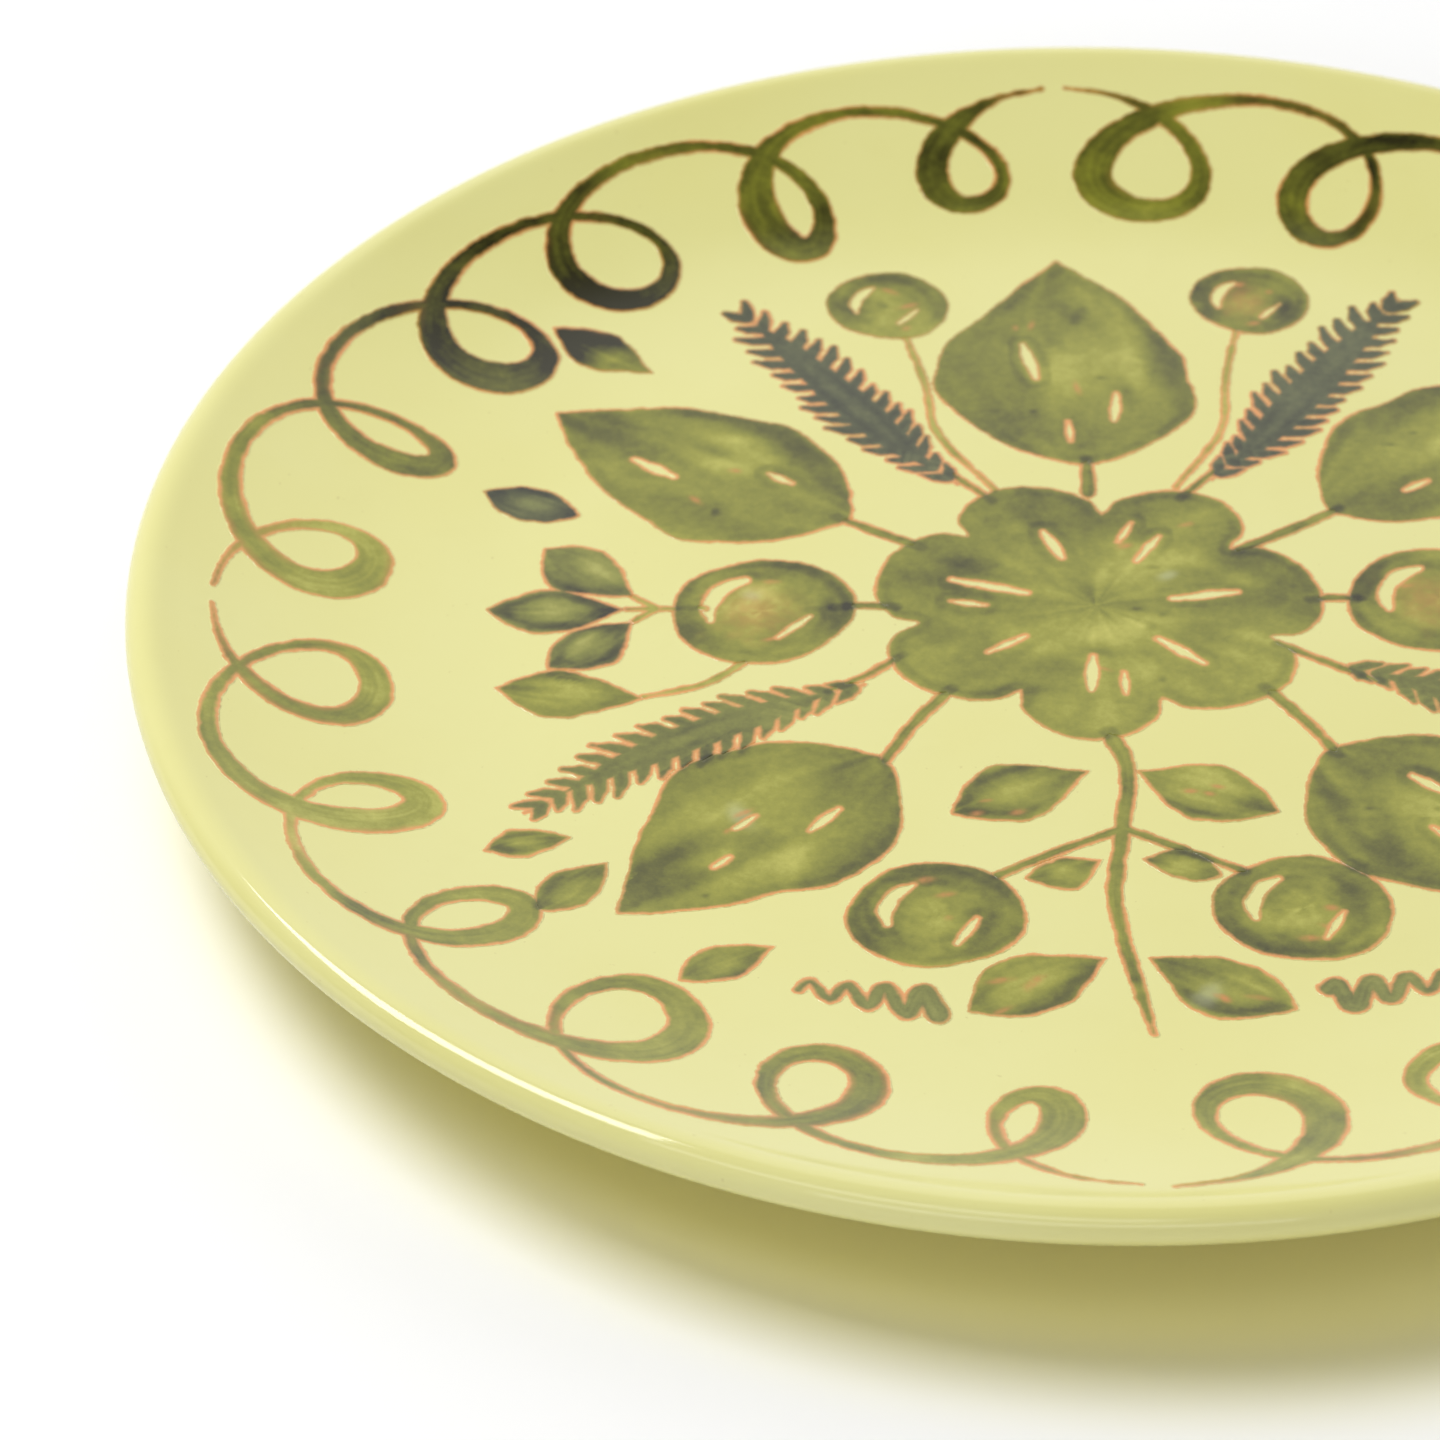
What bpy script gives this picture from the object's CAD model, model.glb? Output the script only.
"""Hand-made plate in lime glaze over red clay, brushed with folk flowers and a loop border.

The plate lies face up on z = 0, centred on the Z axis, with its front towards -Y.
Sizes are in mm and become metres in new_mesh; materials, lights and floor are in metres.
"""
import math

import bpy
import numpy as np
from mathutils import Matrix, Vector


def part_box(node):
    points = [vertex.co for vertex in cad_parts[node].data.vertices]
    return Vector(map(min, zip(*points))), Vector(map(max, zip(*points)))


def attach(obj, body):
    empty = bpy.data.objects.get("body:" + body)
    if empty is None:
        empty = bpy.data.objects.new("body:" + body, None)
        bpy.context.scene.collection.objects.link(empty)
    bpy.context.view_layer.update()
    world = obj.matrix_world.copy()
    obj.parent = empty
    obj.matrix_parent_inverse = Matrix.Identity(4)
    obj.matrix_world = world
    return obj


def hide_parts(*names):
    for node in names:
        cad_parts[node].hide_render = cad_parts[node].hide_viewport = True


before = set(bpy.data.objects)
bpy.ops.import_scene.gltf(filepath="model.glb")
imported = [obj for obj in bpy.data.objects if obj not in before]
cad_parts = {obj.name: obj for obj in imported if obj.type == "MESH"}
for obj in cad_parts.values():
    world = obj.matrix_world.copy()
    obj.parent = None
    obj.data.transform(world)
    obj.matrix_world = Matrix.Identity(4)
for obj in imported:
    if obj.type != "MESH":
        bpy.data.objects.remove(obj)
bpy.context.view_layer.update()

MM = 0.001

# ---------------------------------------------------------------- plate sizes, mm
coat_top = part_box("glaze_coat")[1]
RIM_R = coat_top[0] * 1000.0
CREST_Z = coat_top[2] * 1000.0                      # top of the lip
WELL_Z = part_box("paint_rosette")[0][2] * 1000.0     # eating surface
WELL_R = 78.0           # flat middle ends
SLOPE_R = 128.5         # parabolic slope ends
SLOPE_Z = CREST_Z - 1.15
CURVE = (SLOPE_Z - WELL_Z) / (SLOPE_R - WELL_R) ** 2
LIP = 2.7               # radius of the rounded lip
LIP_MID = RIM_R - LIP
COAT = 0.4              # thickness of the glaze
FOOT_R = 75.0
COAT_END_Z = 1.2        # the glaze stops above the ground
WALL_FOOT, WALL_LIP = 6.2, 5.5      # wall thickness at WALL_R and WALL_RUN further out
WALL_R, WALL_RUN = 83, 43

# ---------------------------------------------------------------- brush grid
GRID_HALF = 135.0
GRID_STEP = 0.3
COUNT = int(round(2 * GRID_HALF / GRID_STEP)) + 1
AXIS = -GRID_HALF + GRID_STEP * np.arange(COUNT)
X, Y = np.meshgrid(AXIS, AXIS)
REACH = 1.6             # how far outside a stroke its distance is kept


def empty_field():
    return np.full((COUNT, COUNT), 9.0, np.float32)


def window(low, high):
    """Slices of the grid that cover the box from low to high."""
    first = np.clip(((np.asarray(low) - AXIS[0]) / GRID_STEP).astype(int), 0, COUNT - 1)
    last = np.clip(((np.asarray(high) - AXIS[0]) / GRID_STEP).astype(int) + 2, 1, COUNT)
    return slice(first[1], last[1]), slice(first[0], last[0])


def hermite(t, start, leave, end, arrive):
    return ((2 * t**3 - 3 * t**2 + 1) * start + (t**3 - 2 * t**2 + t) * leave
            + (3 * t**2 - 2 * t**3) * end + (t**3 - t**2) * arrive)


def spline(rows, closed, spacing):
    """Centripetal Catmull-Rom curve through rows (x, y, ...), sampled about every `spacing`."""
    rows = np.asarray(rows, float)
    count = len(rows)
    out = []
    for i in range(count if closed else count - 1):
        if closed:
            before, start, end, after = (rows[(i + k) % count] for k in (-1, 0, 1, 2))
        else:
            start, end = rows[i], rows[i + 1]
            before = rows[i - 1] if i > 0 else 2 * start - end
            after = rows[i + 2] if i + 2 < count else 2 * end - start
        steps = max(2, int(math.hypot(*(end - start)[:2]) / spacing) + 1)
        gap0, gap1, gap2 = (max(1e-3, math.hypot(*chord[:2])) ** 0.5
                            for chord in (start - before, end - start, after - end))
        leave = gap1 * ((start - before) / gap0 - (end - before) / (gap0 + gap1)
                        + (end - start) / gap1)
        arrive = gap1 * ((end - start) / gap1 - (after - start) / (gap1 + gap2)
                         + (after - end) / gap2)
        for t in np.arange(steps) / steps:
            out.append(hermite(t, start, leave, end, arrive))
    if not closed:
        out.append(rows[-1])
    return np.array(out)


def draw_line(field, points, track=None):
    """Add a brush line, rows (x, y, width), to a signed distance field.

    `track` is a pair of arrays that take the distance along the line and to its side.
    """
    travelled = 0.0
    for start, end in zip(points[:-1], points[1:]):
        reach = max(start[2], end[2]) / 2 + REACH
        area = window(np.minimum(start[:2], end[:2]) - reach,
                      np.maximum(start[:2], end[:2]) + reach)
        x, y = X[area] - start[0], Y[area] - start[1]
        dx, dy = end[0] - start[0], end[1] - start[1]
        square = dx * dx + dy * dy + 1e-9
        t = np.clip((x * dx + y * dy) / square, 0, 1)
        dist = np.hypot(x - t * dx, y - t * dy) - (start[2] + (end[2] - start[2]) * t) / 2
        if track is not None:
            closer = dist < field[area]
            length = math.sqrt(square)
            for store, value in zip(track, (travelled + t * length, (x * dy - y * dx) / length)):
                store[area] = np.where(closer, value, store[area])
            travelled += length
        field[area] = np.minimum(field[area], dist)


def fill_outline(field, outline):
    """Add a closed outline to a signed distance field."""
    margin = REACH + 0.4
    area = window(outline.min(0) - margin, outline.max(0) + margin)
    x, y = X[area], Y[area]
    square = np.full(x.shape, 1e9)
    inside = np.zeros(x.shape, bool)
    for start, end in zip(outline, np.roll(outline, -1, 0)):
        dx, dy = end - start
        t = np.clip(((x - start[0]) * dx + (y - start[1]) * dy)
                    / (dx * dx + dy * dy + 1e-12), 0, 1)
        square = np.minimum(square, (x - start[0] - t * dx) ** 2 + (y - start[1] - t * dy) ** 2)
        if start[1] != end[1]:
            level = (y >= min(start[1], end[1])) & (y < max(start[1], end[1]))
            inside ^= level & (x < start[0] + (y - start[1]) / (end[1] - start[1]) * dx)
    dist = np.where(inside, -1, 1) * np.sqrt(square)
    field[area] = np.minimum(field[area], dist)


def stations(curve, pitch):
    """Rows (x, y, width, tangent x, tangent y) every `pitch` along a sampled curve."""
    gaps = np.hypot(*np.diff(curve[:, :2], axis=0).T)
    run = np.concatenate([[0], np.cumsum(gaps)])
    stops = np.arange(pitch * 0.6, run[-1], pitch)
    rows = np.stack([np.interp(stops, run, curve[:, k]) for k in range(3)], 1)
    ahead = np.stack([np.interp(stops + 0.3, run, curve[:, k]) for k in range(2)], 1)
    ahead -= rows[:, :2]
    ahead /= np.hypot(ahead[:, 0], ahead[:, 1])[:, None] + 1e-9
    return np.hstack([rows, ahead])


def draw_frond(field, spine, pitch=3.3, depth=2.1):
    """Tapering middle with overlapping leaflets that lean towards the tip."""
    curve = spline(spine, False, 0.8)
    core = curve.copy()
    core[:, 2] = np.maximum(0.6, 2 * (curve[:, 2] - depth))
    draw_line(field, core)
    for i, (x, y, half, tx, ty) in enumerate(stations(curve, pitch)):
        for side in (-1, 1):
            vary = 0.5 * math.sin(7.3 * i + 2.1 * side) + 0.3 * math.sin(3.1 * i - side)
            nx, ny = -ty * side, tx * side
            inner, outer = max(0.1, half - 1.6 * depth), half + depth * (0.25 + 0.45 * vary)
            lean = pitch * (0.9 + 0.3 * vary)
            # distance out, lean forward and width, at the root, middle and tip
            draw_line(field, np.array([
                (x + nx * out + tx * fwd, y + ny * out + ty * fwd, pitch * width)
                for out, fwd, width in ((inner, 0, 0.8), ((inner + outer) * 0.55, lean * 0.45, 0.74),
                                        (outer, lean, 0.36))]))


# ---------------------------------------------------------------- decoration
# Each motif follows a rule and a few numbers. The two sides mirror each other apart from
# the unevenness of the hand. Strokes are rows of (x, y, width).
LOOPS = 24              # loops round the border
LOOP_R = 112.6          # middle of the border
LOOP_HALF = 11.6        # half the depth of the border
LOOP_SWING = 13.0       # how far a loop doubles back
ROSE_X, ROSE_Y = 0.0, 4.0
ROSE_R, PETALS = 31, 7
NOTCH = 0.24            # depth between petals, part of the radius
ROSE_TURN = 0.13        # radians
MOTIFS = []             # (node, x, y, direction in degrees, length, width) of larger motifs
OUTLINES = {node: [] for node in (
    "rosette", "top_pod", "side_pods", "broad_leaves", "fruit_discs", "ovals", "stem_leaves",
    "leaf_clusters")}
SLITS = {node: [] for node in OUTLINES}     # unpainted strokes inside the motifs
STROKES = {"stems": [], "thin_stalks": [], "tendrils": []}
FRONDS = {"fronds_back": [], "fronds_front": []}


def uneven(seed, k=0):
    """A fixed small number between -1 and 1."""
    return math.sin(12.9898 * seed + 78.233 * k + 0.5) * math.cos(4.1414 * seed - 3.7 * k)


def placed(points, x, y, deg):
    """Points turned by deg and moved to (x, y)."""
    cos, sin = math.cos(math.radians(deg)), math.sin(math.radians(deg))
    return [(x + u * cos - v * sin, y + u * sin + v * cos) for u, v in points]


def dash(x, y, deg, length, width):
    dx, dy = length / 2 * math.cos(math.radians(deg)), length / 2 * math.sin(math.radians(deg))
    return [(x - dx, y - dy, 0.5 * width), (x, y, width), (x + dx, y + dy, 0.4 * width)]


def crescent(x, y, radius, start_deg, end_deg, width):
    turns = np.radians(np.linspace(start_deg, end_deg, 5))
    return [(x + radius * math.cos(t), y + radius * math.sin(t), width * part)
            for t, part in zip(turns, (0.5, 0.95, 1.0, 0.9, 0.4))]


def add_leaf(node, x, y, deg, length, width, full=0.42, bend=0.0, seed=1):
    """Pointed leaf or pod: base at (x, y), fullest at `full` of its length."""
    MOTIFS.append((node, x, y, deg, length, width))
    power = math.log(0.5) / math.log(full)
    run = (1 - np.cos(math.pi * np.linspace(0, 1, 15))) / 2
    half = width / 2 * np.sin(math.pi * run**power) ** 0.92
    middle = bend * np.sin(math.pi * run)
    upper = [(length * s, m + h * (1 + 0.05 * math.sin(9 * s + seed)
                                   + 0.03 * math.sin(23 * s + 2 * seed)))
             for s, h, m in zip(run, half, middle)]
    lower = [(length * s, m - h * (1 + 0.05 * math.sin(8 * s + 2.3 * seed)
                                   + 0.03 * math.sin(21 * s + seed)))
             for s, h, m in zip(run, half, middle)]
    OUTLINES[node].append(placed(upper + lower[-2:0:-1], x, y, deg))


def add_round(node, x, y, radius, outline):
    MOTIFS.append((node, x - radius, y, 0, 2 * radius, 2 * radius))
    OUTLINES[node].append(outline)


def petal_edge(t):
    """Radius of the rosette at t radians from its first petal."""
    vary = 1 + 0.05 * math.sin(2 * t + 2) + 0.03 * math.sin(5 * t + 4)
    return ROSE_R * vary * (1 - NOTCH + NOTCH * abs(math.cos(PETALS * t / 2)) ** 0.55)


def add_rosette():
    outline = []
    for i in range(14 * PETALS):
        t = 2 * math.pi * i / (14 * PETALS)
        radius = petal_edge(t)
        outline.append((ROSE_X + radius * math.cos(t + ROSE_TURN),
                        ROSE_Y + radius * math.sin(t + ROSE_TURN)))
    add_round("rosette", ROSE_X, ROSE_Y, ROSE_R, outline)

    def slit(radius, t, deg, length, width):
        SLITS["rosette"].append(dash(ROSE_X + radius * math.cos(t), ROSE_Y + radius * math.sin(t),
                                     deg, length, width))

    for i in range(PETALS):
        t = 2 * math.pi * i / PETALS + ROSE_TURN
        slit(15.5, t, math.degrees(t), 8 + 3 * uneven(i), 1.5 + 0.5 * uneven(i, 2))
        if i % 2:
            slit(18, t + 0.26, math.degrees(t + 0.1), 5, 1.0)


def side_pod(x, y, deg, seed):
    count = len(OUTLINES["side_pods"])
    add_leaf("side_pods", x, y, deg, 49 + uneven(seed, 4), 32 + uneven(seed, 5), 0.38,
             1.5 * uneven(seed, 6), seed)
    for u, v, length, width in ((15, 4, 6, 1.5), (23, -3, 4, 1.2), (31, 1, 3, 1.0)):
        spot = placed([(u, v)], x, y, deg)[0]
        SLITS["side_pods"].append(dash(*spot, deg + 12 * uneven(seed, count + u), length, width))


def broad_leaf(x, y, deg, seed):
    add_leaf("broad_leaves", x, y, deg, 50 + uneven(seed, 4), 31 + uneven(seed, 5), 0.44,
             2.0 * uneven(seed, 6), seed)
    for u, v, length, width in ((31, 3.6, 7, 1.7), (14, -3.5, 4, 1.2)):
        spot = placed([(u, v)], x, y, deg)[0]
        SLITS["broad_leaves"].append(dash(*spot, deg - 6, length, width))


def fruit(size):
    def put(x, y, deg, seed):
        radius = size * (1 + 0.03 * uneven(seed, 3))
        turns = np.arange(18) * math.pi / 9
        radii = radius * (1 + 0.035 * np.sin(2 * turns + seed) + 0.02 * np.sin(3 * turns + 2 * seed)
                          + 0.012 * np.sin(5 * turns + 3 * seed))
        add_round("fruit_discs", x, y, radius, [
            (x + r * math.cos(t), y + 0.96 * r * math.sin(t)) for r, t in zip(radii, turns)])
        SLITS["fruit_discs"] += [
            crescent(x, y, 0.58 * size, 112 + 8 * uneven(seed, 4), 196, 0.19 * size),
            dash(x + 0.34 * size, y - 0.3 * size, 50 + 20 * uneven(seed, 5), 0.5 * size,
                 0.11 * size)]
    return put


def small_leaf(node, length, width, full=0.55, sway=1):
    def put(x, y, deg, seed):
        add_leaf(node, x, y, deg, length, width, full, sway * uneven(seed, 6), seed)
    return put


def cluster(x, y, deg, seed):
    """Three leaves fanned from one point."""
    for fan, length in ((0, 21), (42, 17.5), (-42, 17.5)):
        base = placed([(4.2, 0.0)], x, y, deg + fan)[0]
        add_leaf("leaf_clusters", *base, deg + fan, length - 1 + uneven(seed, fan),
                 10.2 + uneven(seed, fan + 1), 0.56, 0.5, seed + fan)
        STROKES["thin_stalks"].append([(x, y, 1.3), (*base, 1.1)])


add_rosette()
add_leaf("top_pod", 0.6, 37.5, 92, 52, 38, 0.40, 1.2, 3.0)
SLITS["top_pod"] += [dash(-6.5, 64, 100, 9, 1.7), dash(5.5, 52, 84, 7, 1.3),
                     dash(-1.5, 46, 92, 5, 1.0)]

# motif, x, y and direction on the right side, seed, how far it may stray
PAIRS = [
    (side_pod, 30, -29, -43, 5, 1.0),
    (broad_leaf, 34, 24.5, 35, 6, 1.0),
    (fruit(13.0), 47.5, 4.0, 0, 7, 1.0),
    (fruit(11.6), 24.2, -62.0, 0, 8, 1.0),
    (fruit(8.6), 27.0, 78, 0, 9, 1.0),
    (small_leaf("stem_leaves", 21, 12.0), 3.2, -33, -26, 10, 0.5),
    (small_leaf("stem_leaves", 11, 6.8), 2.6, -52, -20, 11, 0.4),
    (small_leaf("stem_leaves", 21.5, 12.2), 2.8, -72, -30, 12, 0.5),
    (small_leaf("stem_leaves", 21, 10.4), 63, -15, 4, 15, 0.5),
    (small_leaf("stem_leaves", 17, 8.6), 62.0, 62.0, 34, 16, 0.5),
    (small_leaf("stem_leaves", 15, 7.8), 68.5, -51.0, -52, 19, 0.5),
    (small_leaf("stem_leaves", 12, 6.4), 73.0, -45.5, -20, 20, 0.5),
    (small_leaf("stem_leaves", 15, 7.6), 46.5, -69.0, -32, 17, 0.5),
    (cluster, 61.5, 5, 2, 13, 0.5),
    (small_leaf("ovals", 15, 8.4, 0.5, 0), 73.0, 27.0, 22, 14, 0.5),
]
for put, x, y, deg, base_seed, stray in PAIRS:
    for side in (1, -1):
        seed = base_seed + 0.37 * side
        turned = deg if side > 0 else 180 - deg
        put(side * x + stray * uneven(seed), y + stray * uneven(seed, 1),
            turned + 4.0 * uneven(seed, 2), seed)

# right-hand strokes; the last column of a frond is its half width
BACK_FROND = [(17.5, 33.5, 1.0), (24.5, 42, 4.2), (31, 52, 5.4), (37.5, 62, 5.0),
              (43.5, 71, 3.4), (48.4, 77, 0.8)]
FRONT_FROND = [(33, -12, 1.0), (43, -16, 3.9), (52, -20.4, 5.2), (61.5, -25.6, 5.0),
               (71, -32, 3.4), (79.5, -39.5, 0.8)]
# direction in which a stalk leaves the rosette, then its points
STALKS = [
    (-41, [(26.5, -22, 2.0), (31, -30.5, 1.8)]),
    (31, [(30, 22, 2.0), (36, 26, 1.7)]),
    (1, [(33, 5, 1.8), (37, 4.5, 1.6)]),
    (62, [(17, 33.5, 1.6), (19.5, 36.5, 1.5)]),
    (-21, [(32, -10.5, 1.7), (38, -14.5, 1.5)]),
]
THIN_STALKS = [
    [(13, 32, 1.0), (20.6, 46, 1.2), (22.0, 58, 1.2), (24.4, 70.5, 1.0)],
    [(55, 5, 1.2), (58, 5, 1.3), (61, 5, 1.2)],
    [(49.5, -7.6, 1.1), (55, -12.2, 1.3), (63.5, -15, 1.2)],
]


def mirrored(side, points):
    return [(side * x, y, width) for x, y, width in points]


def stalk(side, deg, points):
    """A stem that starts just inside the edge of the rosette."""
    t = math.radians(deg if side > 0 else 180 - deg)
    radius = petal_edge(t - ROSE_TURN) - 2.0
    start = (ROSE_X + radius * math.cos(t), ROSE_Y + radius * math.sin(t), points[0][2])
    return [start] + mirrored(side, points)


def tendril(side, shift):
    wave = []
    for i in range(23):
        u = i / 22
        swing = (3.0 - 1.6 * u) * math.sin(2 * math.pi * 3.7 * u + shift)
        wave.append((side * (25.5 + 18 * u), -81.5 + 4 * u + swing, 3.2 - 1.6 * u))
    return wave


for side in (1, -1):
    shift = 0.8 * side      # keeps the two sides from matching exactly
    FRONDS["fronds_back"].append([(side * x + shift, y, half) for x, y, half in BACK_FROND])
    FRONDS["fronds_front"].append([(side * x, y + 1.4 * shift, half)
                                   for x, y, half in FRONT_FROND])
    STROKES["stems"] += [stalk(side, deg, points) for deg, points in STALKS]
    STROKES["stems"].append([(0.8, -45.5, 1.7)] + mirrored(side, [(9, -50.5, 1.7), (16.5, -55, 1.6)]))
    STROKES["thin_stalks"] += [mirrored(side, points) for points in THIN_STALKS]
    STROKES["tendrils"].append(tendril(side, shift))
# upright stems in front of and behind the rosette
STROKES["stems"] += [
    [(0, -24.5, 2.6), (2.0, -32, 2.4), (0.6, -46, 2.3), (-1.2, -60, 2.2), (0.2, -74, 2.0),
     (2.2, -88, 1.0)],
    [(0.3, 30.5, 2.2), (0.5, 34.5, 2.1), (0.6, 39, 1.9)]]


def loops(first, last):
    """One brush stroke of the border, from loop number `first` to `last`."""
    u = np.linspace(2 * math.pi * first + 0.10, 2 * math.pi * last - 0.10,
                    int(16 * (last - first)) + 1)
    half = LOOP_HALF * (1 + 0.09 * np.sin(0.37 * u + 1) + 0.07 * np.sin(0.83 * u + 2))
    swing = LOOP_SWING * (1 + 0.14 * np.sin(0.29 * u) + 0.10 * np.sin(0.71 * u + 1))
    radii = LOOP_R + 0.8 * np.sin(0.41 * u + 2) + half * np.cos(u)
    turns = -math.pi / 2 + u / LOOPS + swing / LOOP_R * np.sin(u)
    widths = ((2.1 + 3.5 * (0.5 + 0.5 * np.cos(u - 2.3)) ** 1.4)
              * (1 + 0.15 * np.sin(0.53 * u + 0.6) + 0.08 * np.sin(1.9 * u)))
    ends = np.clip(np.minimum(u - u[0], u[-1] - u) / 0.9, 0.3, 1)
    return [(r * math.cos(t), r * math.sin(t), width)
            for r, t, width in zip(radii, turns, widths * ends)]


# four strokes, counter-clockwise from the front
QUARTER = LOOPS // 4
BORDER = {"border_" + part: [loops(i * QUARTER, (i + 1) * QUARTER)]
          for i, part in enumerate(("front_right", "back_right", "back_left", "front_left"))}


def paint_fields(track):
    """Signed distance (mm, negative inside) of every painted piece."""
    fields = {}
    for node, runs in {**BORDER, **STROKES}.items():
        fields[node] = empty_field()
        for run in runs:
            draw_line(fields[node], spline(run, False, 0.7), track)
    for node, outlines in OUTLINES.items():
        fields[node] = empty_field()
        for outline in outlines:
            fill_outline(fields[node], spline(outline, True, 1.2))
    for node, spines in FRONDS.items():
        fields[node] = empty_field()
        for spine in spines:
            draw_frond(fields[node], spine)
    for node, runs in SLITS.items():
        if runs:
            cut = empty_field()
            for run in runs:
                draw_line(cut, spline(run, False, 0.6))
            fields[node] = np.maximum(fields[node], -cut)
    return fields


# ---------------------------------------------------------------- surface
def face_z(r):
    """Height of the even face: flat well, parabolic slope, then an easing up to the lip."""
    r = np.asarray(r, float)
    run = LIP_MID - SLOPE_R
    t = np.clip((r - SLOPE_R) / run, 0, 1)
    rim = hermite(t, SLOPE_Z, 2 * CURVE * (SLOPE_R - WELL_R) * run, CREST_Z, 0.0)
    slope = WELL_Z + CURVE * (r - WELL_R) ** 2
    return np.where(r <= WELL_R, WELL_Z, np.where(r <= SLOPE_R, slope, rim))


def wobble(x, y):
    """Hand-made unevenness of the face: two sets of soft dents and faint turning rings."""
    turn = np.arctan2(y, x)
    r = np.hypot(x, y)
    total = 0.050 * np.sin(x / 11.3 + 0.6 * np.sin(y / 17.0)) * np.cos(y / 13.1 + 1.7)
    total += 0.030 * np.sin((x + 0.6 * y) / 6.1 + 2.0) * np.sin((y - 0.4 * x) / 7.3)
    total += (0.022 * np.sin(r / 2.9 + 0.9 * np.sin(turn * 2 + 1.0))
              * np.clip((r - 15) / 40, 0, 1))
    return total * np.clip((131 - r) / 6, 0.15, 1)


def lip_wave(turn):
    """Slow rise and fall of the lip."""
    return (0.16 * np.sin(2 * turn + 0.7) + 0.08 * np.sin(3 * turn + 2.1)
            + 0.05 * np.sin(5 * turn + 4.0))


def surface_z(x, y):
    r, turn = np.hypot(x, y), np.arctan2(y, x)
    return face_z(r) + wobble(x, y) + lip_wave(turn) * np.clip((r - 80) / 50, 0, 1) ** 2


NOISE_TABLE = np.random.default_rng(57).random((256, 256))


def value_noise(u, v, seed=0):
    """Smooth value noise, -1 to 1."""
    u = np.asarray(u, float) + 37.7 * seed
    v = np.asarray(v, float) + 91.3 * seed
    i, j = np.floor(u).astype(int), np.floor(v).astype(int)
    a, b = u - i, v - j
    a, b = a * a * (3 - 2 * a), b * b * (3 - 2 * b)
    i0, j0, i1, j1 = i % 256, j % 256, (i + 1) % 256, (j + 1) % 256
    near = NOISE_TABLE[i0, j0] * (1 - a) + NOISE_TABLE[i1, j0] * a
    far = NOISE_TABLE[i0, j1] * (1 - a) + NOISE_TABLE[i1, j1] * a
    return 2 * (near * (1 - b) + far * b) - 1


def new_mesh(name, verts, faces):
    """Smooth-shaded object from vertices in mm."""
    mesh = bpy.data.meshes.new(name)
    mesh.from_pydata([tuple(v) for v in verts * MM], [], faces)
    mesh.update()
    mesh.polygons.foreach_set("use_smooth", [True] * len(mesh.polygons))
    ob = bpy.data.objects.new(name, mesh)
    bpy.context.collection.objects.link(ob)
    return ob


# ---------------------------------------------------------------- glaze coat
# (r, z) where the back turns down into the foot
FOOT_CURVE = [(81.0, 4.66), (79.4, 4.42), (78.2, 4.12), (77.2, 3.72), (76.4, 3.22), (75.85, 2.7),
              (75.55, 2.2), (75.45, 1.8)]
# (out from the foot, up from the end of the coat) round its rolled edge
COAT_EDGE = ((0.46, 0.30), (0.42, 0.12), (0.30, 0.03), (0.12, 0.0), (0.02, 0.02))
# (r, z) on the clay behind the coat, from the foot outwards
FOOT_CLAY = [(FOOT_R + 0.02, 2.2), (75.75, 3.4), (77.4, 4.25), (80.0, 4.86)]


def back_point(r, inset=0.0):
    """(r, z) on the back, square across the wall from the face at r."""
    wall = WALL_FOOT + (WALL_LIP - WALL_FOOT) * (r - WALL_R) / WALL_RUN - inset
    slope = 2 * CURVE * (r - WELL_R)
    norm = math.hypot(1, slope)
    return r + wall * slope / norm, float(face_z(r)) - wall / norm


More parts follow.
